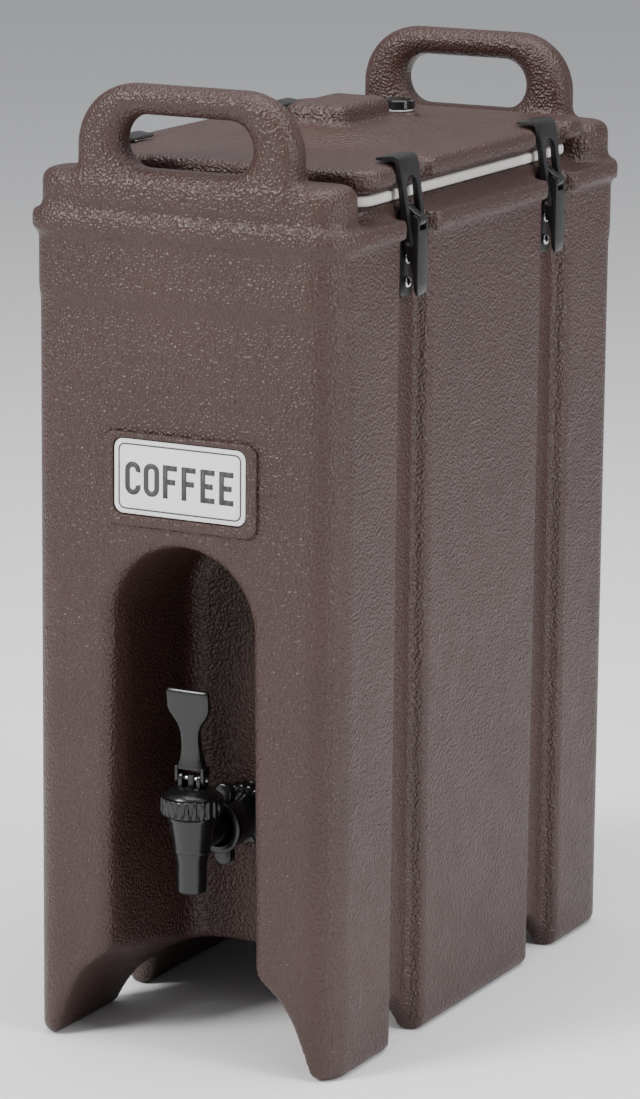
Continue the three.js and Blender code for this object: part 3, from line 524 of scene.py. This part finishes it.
pin = lathe("lever_pin_turned", [(0, -11.4), (1.2, -11.4), (1.6, -11), (1.6, 11), (1.2, 11.4), (0, 11.4)], 32, (0, SPIGOT_Y, PIN_Z), "x")
finish_piece(by_angle(pin), STEEL, "steel", "casing", "lever_pin")

# lever: lofted through cross-sections up the height, z, half width, y of the middle, half thickness
SECT = [(187.4, 9.9, 0.0, 4.6), (190, 9.1, 0.1, 4.5), (194, 7.7, 0.1, 4.0), (200, 6.7, -0.5, 3.4), (206, 6.4, -1.4, 3.1), (212, 6.8, -2.2, 2.9), (217, 8.6, -3.0, 2.7), (221, 11.6, -3.7, 2.6), (224.5, 14.0, -4.3, 2.5), (227.5, 14.9, -4.8, 2.5), (233, 15.0, -5.3, 2.5), (237.6, 15.0, -5.8, 2.4), (239.3, 14.4, -5.9, 1.9), (240, 13.2, -5.9, 1.0)]
v, f, N = [], [], 48
for z, hw, ym, ht in SECT:
    for i in range(N):
        a = 2 * math.pi * i / N
        c, s = math.cos(a), math.sin(a)
        e = 0.42
        v.append((hw * math.copysign(abs(c) ** e, c), SPIGOT_Y + ym + ht * math.copysign(abs(s) ** e, s), z))
for k in range(len(SECT) - 1):
    for i in range(N):
        j = (i + 1) % N
        f.append((k * N + i, k * N + j, (k + 1) * N + j, (k + 1) * N + i))
f.append(tuple(range(N - 1, -1, -1)))
f.append(tuple((len(SECT) - 1) * N + i for i in range(N)))
paddle = mesh_object("paddle", v, f)
cheeks = [slab("cheek", [(SPIGOT_Y + 4.4, 189)] + [(SPIGOT_Y - 4.4, 189)] + arc(SPIGOT_Y, PIN_Z, 4.3, 180, 360, 14), s * 8.15, s * 10.35, "yz", 0.5, 3) for s in (-1, 1)]
finish_piece(by_angle(join("lever_moulding", paddle, *cheeks), 44), NYLON, "spigot", "spigot_lever", "spigot_lever")

# wing nut and lock nut
hub = lathe("hub", [(12.9, -158.5), (16.4, -158.5), (17.1, -157.9), (17.2, -157), (15.5, -127.6), (14.9, -127), (12.9, -127), (12.9, -158.5)], 72, (0, 0, SHANK_Z), "y")
wings = []
for s in (1, -1):
    out = [(-5.6, s * 13), (-6.6, s * 20)] + [(p[0], s * p[1]) for p in arc(0, 20.4, 6.7, 180, 0, 14)] + [(5.6, s * 13)]
    wings.append(slab("wing", [(a, b + SHANK_Z) for a, b in out], -151, -144, "xz", 1.5, 4))
finish_piece(by_angle(join("wing_nut_moulding", hub, *wings), 44), NYLON, "spigot", "wing_nut", "wing_nut")
nut = lathe("lock_nut_moulding", [(9.3, -124), (18.4, -124), (19.8, -123.3), (20.4, -122.2), (20.4, -115.6), (19.8, -114.4), (18.6, -113.9), (9.3, -113.9), (9.3, -124)], 240, (0, 0, SHANK_Z), "y", lambda a, h, r: -0.9 * max(0.0, min(1.0, 0.5 - 2.2 * math.sin(a * 20))) if r > 19 else 0.0)
finish_piece(by_angle(nut, 42), NYLON, "spigot", "casing", "lock_nut")
for nm in ("wall_tube", "stem", "vent_cap"):
    give(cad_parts[nm], NYLON)
for nm in ("inner_seal", "outer_seal", "tail_washer", "seat_cup", "vent_seal"):
    give(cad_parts[nm], SILICONE)
for nm in ("foam_port_plug", "lid_foam_plug"):
    give(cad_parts[nm], BROWN)
give(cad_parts["spring_washer"], STEEL)
v, f, K, turns = [], [], 10, 4
for i in range(161):
    t = i / 160
    a0 = 2 * math.pi * turns * t
    for k in range(K):
        b0 = 2 * math.pi * k / K
        rad = 8.2 + 0.6 * math.cos(b0)
        v.append((rad * math.cos(a0), SPIGOT_Y + rad * math.sin(a0), 149.3 + 21.6 * t + 0.6 * math.sin(b0)))
for i in range(160):
    for k in range(K):
        n2 = (k + 1) % K
        f.append((i * K + k, i * K + n2, (i + 1) * K + n2, (i + 1) * K + k))
f += [tuple(range(K - 1, -1, -1)), tuple(160 * K + k for k in range(K))]
coil = finish_piece(mesh_object("return_coil", v, f), STEEL, "steel", "casing", "return_spring")
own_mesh(coil)

# ---------- latches ----------
GX = 99.7


def latch(key, side, yc):
    turn = Matrix.Translation((0, yc * MM, 0)) @ (Matrix.Identity(4) if side > 0 else Matrix.Rotation(math.pi, 4, "Z"))

    def place(o, mat, slot, body, *nodes):
        o.data.transform(turn)
        return finish_piece(o, mat, slot, body, *nodes)

    base = slab("b", rounded(8.6, 28.8, 3.2, 0, 512.2), GX + 0.3, GX + 2.0, "yz", 0.5, 2)
    arm = slab("a", [(GX + 1, 541), (GX + 1, 525), (B[0] - 2.6, B[1] - 3.6)] + arc(B[0], B[1], 4.2, -112, 90, 12) + [(GX + 3, 541)], -4, 4, "xz", 0.6, 3)
    place(by_angle(join(key + "_bracket_moulding", base, arm), 40), LATCH, "latch", "casing", key + "_bracket")
    for i, z in enumerate((492, 507)):
        s = lathe("s", [(0, GX + 2.1), (3.6, GX + 2.8 - 0.5), (3.65, GX + 2.9), (3.2, GX + 3.8), (2.2, GX + 4.5), (0.9, GX + 4.7), (0.9, GX + 3.6), (0, GX + 3.5)], 28, (0, 0, z), "x")
        place(by_angle(s, 50), STEEL, "steel", "casing", f"{key}_screw_{i + 1}")
    # lever: side outline pushed across, then the fork and the hollow cut out
    side_out = [(112.6, 531.5), (112.75, 520), (112.7, 492), (112.5, 488), (112.0, 485.6), (111.0, 484.3), (110.2, 484.9), (109.6, 492), (109.0, 499), (106.4, 508), (104.6, 514), (104.4, 520), (105.4, 527), (105.7, 531.5)] + arc(B[0], B[1], 3.4, 176, 6, 12)
    lv = slab("lv", side_out, -7, 7, "xz")
    fork = slab("c1", [(98, 525.4), (120, 525.4), (120, 546), (98, 546)], -4.5, 4.5, "xz")
    hol = slab("c2", [(98, 501), (110.9, 501), (110.9, 514), (98, 514)], -4.6, 4.6, "xz")
    ends = []
    for s in (-1, 1):
        tip = [(s * 8, 482), (s * 3.2, 482), (s * 3.4, 484.6), (s * 5.2, 485.8), (s * 6.4, 488), (s * 7.0, 491.5), (s * 8, 491.5)]
        ends.append(slab("c3", tip, 98, 120, "yz"))
    cutaway(lv, fork, hol, *ends)
    soften(lv, 0.75, 3, 30)
    lv = by_angle(join(key + "_lever_moulding", lv), 44)
    place(lv, LATCH, "latch", key + "_lever", key + "_lever")
    # hook: strap outline with its slot, bent to the side profile
    prof = arc(L[0], L[1], 2.6, 180, 366, 12) + [(102.2, 566.4), (101.75, 568.3), (100.7, 569.9), (99.0, 571.0), (96.9, 571.35), (94.6, 571.25), (92, 570.9), (89, 570.4), (86.6, 570.15), (85.9, 569.6), (85.6, 568.9), (86.0, 568.3), (88, 568.2), (92, 568.25), (95.6, 568.3), (97.6, 568.1), (98.8, 567.4), (99.4, 566)]
    hk = slab("hk", prof, -13, 13, "xz")
    slot = slab("c4", [(7.4, 510), (7.4, 551.6)] + arc(0, 551.6, 7.4, 0, 180, 20) + [(-7.4, 551.6), (-7.4, 510)], 90, 125, "yz")
    sides = [slab("c5", [(s * 16, 508), (s * 10.3, 508), (s * 10.5, 514), (s * 13, 556), (s * 13, 580), (s * 16, 580)], 60, 125, "yz") for s in (-1, 1)]
    cutaway(hk, slot, *sides)
    soften(hk, 0.55, 3, 30)
    place(by_angle(join(key + "_hook_moulding", hk), 44), LATCH, "latch", key + "_hook", key + "_hook")
    for nm in ("_lever_pin", "_hook_pin"):
        give(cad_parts[key + nm], STEEL)


for key, side, y in (("latch_front_right", 1, -LATCH_Y), ("latch_rear_right", 1, LATCH_Y), ("latch_front_left", -1, -LATCH_Y), ("latch_rear_left", -1, LATCH_Y)):
    latch(key, side, y)

# ---------- floor, light and camera ----------
bpy.ops.mesh.primitive_plane_add(size=30, location=(0, 0, 0))
floor = bpy.context.object
floor.name = "floor"
floor.data.materials.append(material("floor", (0.93, 0.93, 0.93), 0.75, bumps=[("noise", 40, 0.0002)], spec=0.2))
world = bpy.data.worlds.new("world")
bpy.context.scene.world = world
world.use_nodes = True
world.node_tree.nodes["Background"].inputs[0].default_value = (0.93, 0.95, 1.0, 1)
world.node_tree.nodes["Background"].inputs[1].default_value = 0.38


def area(name, where, to, size, power, colour=(1, 1, 1)):
    d = bpy.data.lights.new(name, "AREA")
    d.shape = "RECTANGLE"
    d.size, d.size_y = size
    d.energy = power
    d.color = colour
    o = bpy.data.objects.new(name, d)
    bpy.context.scene.collection.objects.link(o)
    o.location = where
    o.rotation_euler = (Vector(to) - Vector(where)).to_track_quat("-Z", "Y").to_euler()


area("key", (-1.3, -2.3, 2.1), (0, -0.1, 0.3), (1.0, 1.4), 105, (1, 0.99, 0.97))
area("top", (0.2, 0.1, 2.4), (0, 0, 0.4), (2.2, 2.2), 60)
area("side", (2.4, -0.4, 1.2), (0, 0, 0.3), (0.7, 1.8), 44, (0.97, 0.98, 1))

a, e, r = math.radians(27.495), math.radians(12.634), math.radians(0.526)
back = Vector((math.sin(a) * math.cos(e), -math.cos(a) * math.cos(e), math.sin(e)))
right = Vector((0, 0, 1)).cross(back).normalized()
up = back.cross(right)
R = math.cos(r) * right + math.sin(r) * up
U = -math.sin(r) * right + math.cos(r) * up
cd = bpy.data.cameras.new("camera")
cam = bpy.data.objects.new("camera", cd)
bpy.context.scene.collection.objects.link(cam)
cam.matrix_world = Matrix(((R.x, U.x, back.x, 1.337), (R.y, U.y, back.y, -2.588), (R.z, U.z, back.z, 0.944), (0, 0, 0, 1)))
cd.sensor_width = 36
cd.lens = 4534 * 36 / 1099
cd.clip_end = 100
bpy.context.scene.camera = cam
